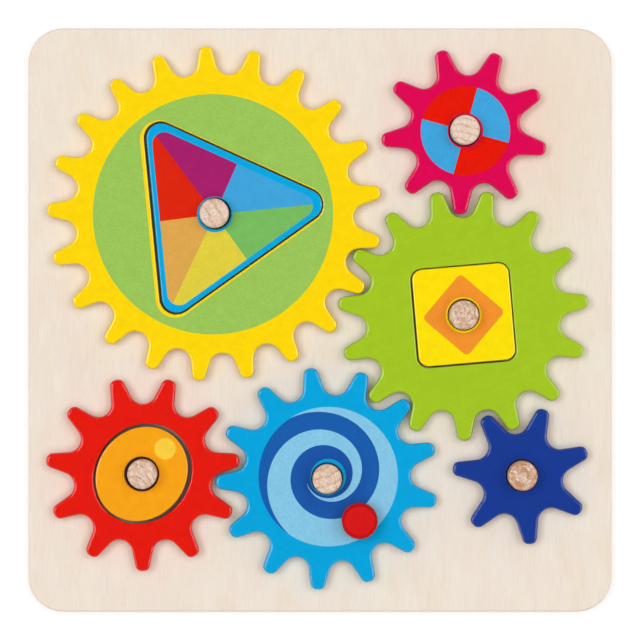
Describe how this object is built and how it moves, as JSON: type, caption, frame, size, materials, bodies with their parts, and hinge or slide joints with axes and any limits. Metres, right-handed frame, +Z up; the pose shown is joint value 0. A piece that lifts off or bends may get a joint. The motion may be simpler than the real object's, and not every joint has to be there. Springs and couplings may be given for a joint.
{
  "type": "crank gear toy",
  "caption": "Wooden toddler toy: toothed wheels that mesh and turn on pegs in a square board, driven by a small crank knob, with loose shaped inserts that lift out.",
  "frame": {"origin": "centre of the board's flat underside", "axes": "+Z up, out of the side that carries the wheels; +Y towards the far edge of the board; +X to the right"},
  "size_m": [0.3, 0.3, 0.031],
  "materials": {
    "board_plywood": "bare sanded plywood",
    "yellow_paint": "satin paint on plywood with a green printed disc",
    "green_paint": "satin paint on plywood",
    "magenta_paint": "satin paint on plywood with a quartered printed disc",
    "light_blue_paint": "satin paint on plywood with a printed spiral",
    "navy_paint": "satin paint on plywood",
    "red_paint": "satin paint on plywood",
    "triangle_paint": "satin paint on plywood with six printed segments",
    "square_paint": "satin paint on plywood with a printed diamond",
    "oval_paint": "satin paint on plywood with a printed dot",
    "knob_paint": "satin paint on turned beech",
    "dowel_beech": "bare beech",
    "peg_beech": "bare sanded beech dowel"
  },
  "bodies": {
    "board": {"base_board": "board_plywood", "yellow_gear_peg": "peg_beech", "green_gear_peg": "peg_beech", "magenta_gear_peg": "peg_beech", "light_blue_gear_peg": "peg_beech", "navy_gear_peg": "peg_beech", "red_gear_peg": "peg_beech"},
    "yellow_wheel": {"yellow_gear": "yellow_paint"},
    "green_wheel": {"green_gear": "green_paint"},
    "magenta_wheel": {"magenta_gear": "magenta_paint"},
    "light_blue_wheel": {"light_blue_gear": "light_blue_paint", "crank_knob": "knob_paint", "knob_dowel": "dowel_beech"},
    "navy_wheel": {"navy_gear": "navy_paint"},
    "red_wheel": {"red_gear": "red_paint"},
    "triangle_piece": {"triangle_insert": "triangle_paint"},
    "square_piece": {"square_insert": "square_paint"},
    "oval_piece": {"oval_insert": "oval_paint"}
  },
  "joints": [
    {"name": "yellow_spin", "type": "hinge", "parent": "board", "child": "yellow_wheel", "pos_m": [-0.05413, 0.05459, 0.008], "axis": [0, 0, 1], "continuous": true},
    {"name": "green_spin", "type": "hinge", "parent": "board", "child": "green_wheel", "pos_m": [0.0735, 0.0025, 0.008], "axis": [0, 0, 1], "continuous": true},
    {"name": "magenta_spin", "type": "hinge", "parent": "board", "child": "magenta_wheel", "pos_m": [0.07416, 0.09715, 0.008], "axis": [0, 0, 1], "continuous": true},
    {"name": "light_blue_spin", "type": "hinge", "parent": "board", "child": "light_blue_wheel", "pos_m": [0.0037, -0.08128, 0.008], "axis": [0, 0, 1], "continuous": true},
    {"name": "navy_spin", "type": "hinge", "parent": "board", "child": "navy_wheel", "pos_m": [0.10355, -0.07962, 0.008], "axis": [0, 0, 1], "continuous": true},
    {"name": "red_spin", "type": "hinge", "parent": "board", "child": "red_wheel", "pos_m": [-0.09092, -0.0788, 0.008], "axis": [0, 0, 1], "continuous": true},
    {"name": "triangle_lift", "type": "slide", "parent": "yellow_wheel", "child": "triangle_piece", "axis": [0, 0, 1], "range_m": [0, 0.022]},
    {"name": "square_lift", "type": "slide", "parent": "green_wheel", "child": "square_piece", "axis": [0, 0, 1], "range_m": [0, 0.022]},
    {"name": "oval_lift", "type": "slide", "parent": "red_wheel", "child": "oval_piece", "axis": [0, 0, 1], "range_m": [0, 0.022]}
  ],
  "couplings": [
    {"joint": "green_spin", "follows": "yellow_spin", "ratio": -1.4},
    {"joint": "magenta_spin", "follows": "yellow_spin", "ratio": 2.3333},
    {"joint": "light_blue_spin", "follows": "yellow_spin", "ratio": 1.6154},
    {"joint": "navy_spin", "follows": "yellow_spin", "ratio": 3},
    {"joint": "red_spin", "follows": "yellow_spin", "ratio": -1.9091}
  ]
}
